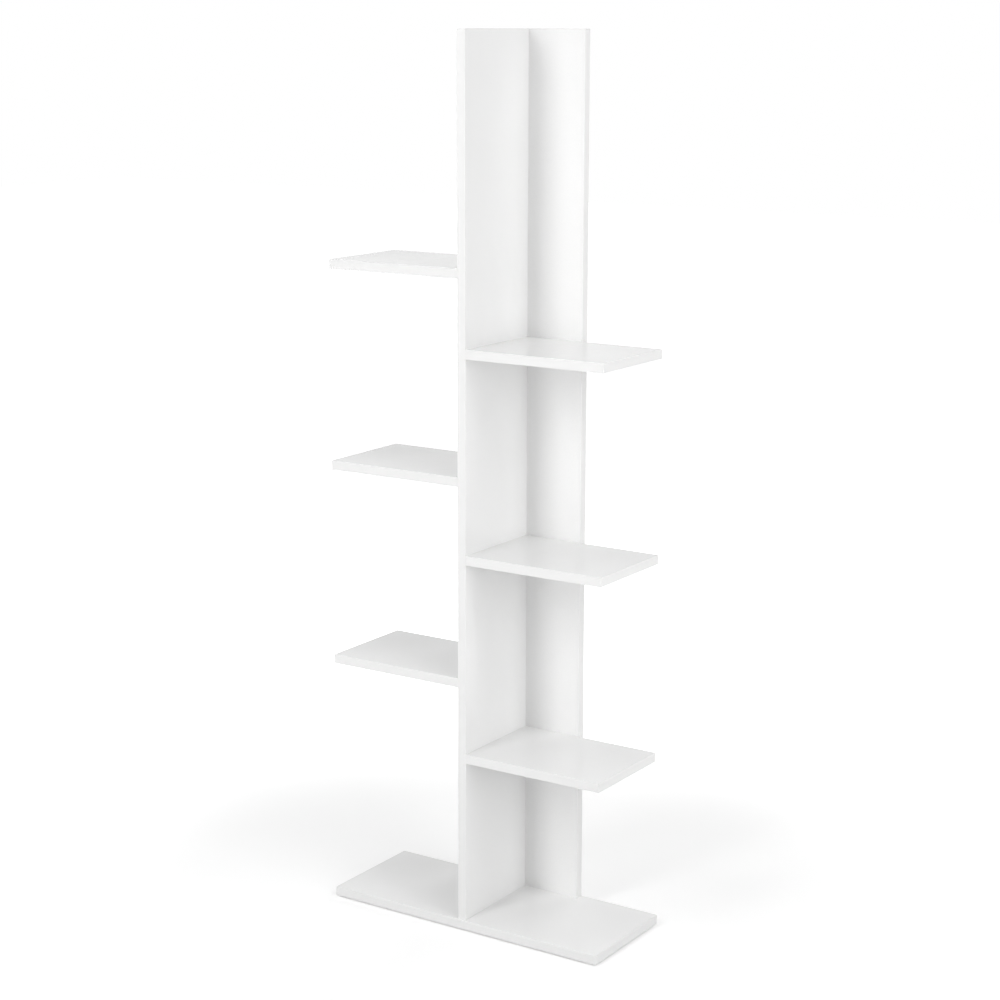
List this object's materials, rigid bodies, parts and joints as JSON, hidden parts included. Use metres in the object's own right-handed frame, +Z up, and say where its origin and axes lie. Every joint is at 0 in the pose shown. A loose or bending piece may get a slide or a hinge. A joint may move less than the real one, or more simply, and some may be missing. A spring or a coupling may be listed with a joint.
{
  "type": "tree bookshelf",
  "caption": "free-standing open bookshelf whose shelves branch right and left by turns off a tall T-shaped trunk of two boards on a flat rectangular base",
  "frame": {"origin": "on the floor, under the middle of the base board", "axes": "X to the right as seen from the front, Y to the back, Z up"},
  "size_m": [0.6, 0.23, 1.69],
  "materials": {
    "white_board": "satin",
    "white_strip": "satin",
    "beech": "matte",
    "steel": "satin",
    "zinc": "matte",
    "glide_plastic": "matte"
  },
  "bodies": {
    "root": {"base_board": "white_board", "upright_board": "white_board", "back_board": "white_board", "right_shelf_lower": "white_board", "left_shelf_lower": "white_board", "right_shelf_middle": "white_board", "left_shelf_middle": "white_board", "right_shelf_upper": "white_board", "left_shelf_upper": "white_board", "base_edging": "white_strip", "upright_edging": "white_strip", "back_edging": "white_strip", "right_shelf_lower_edging": "white_strip", "left_shelf_lower_edging": "white_strip", "right_shelf_middle_edging": "white_strip", "left_shelf_middle_edging": "white_strip", "right_shelf_upper_edging": "white_strip", "left_shelf_upper_edging": "white_strip", "base_screws": "steel", "trunk_screws": "steel", "right_shelf_screws": "steel", "left_shelf_screws": "steel", "right_cam_bolts": "steel", "left_cam_bolts": "steel", "glide_nails": "steel", "base_dowels": "beech", "trunk_dowels": "beech", "right_shelf_dowels": "beech", "left_shelf_dowels": "beech", "right_cam_locks": "zinc", "left_cam_locks": "zinc", "floor_glides": "glide_plastic"}
  },
  "joints": []
}
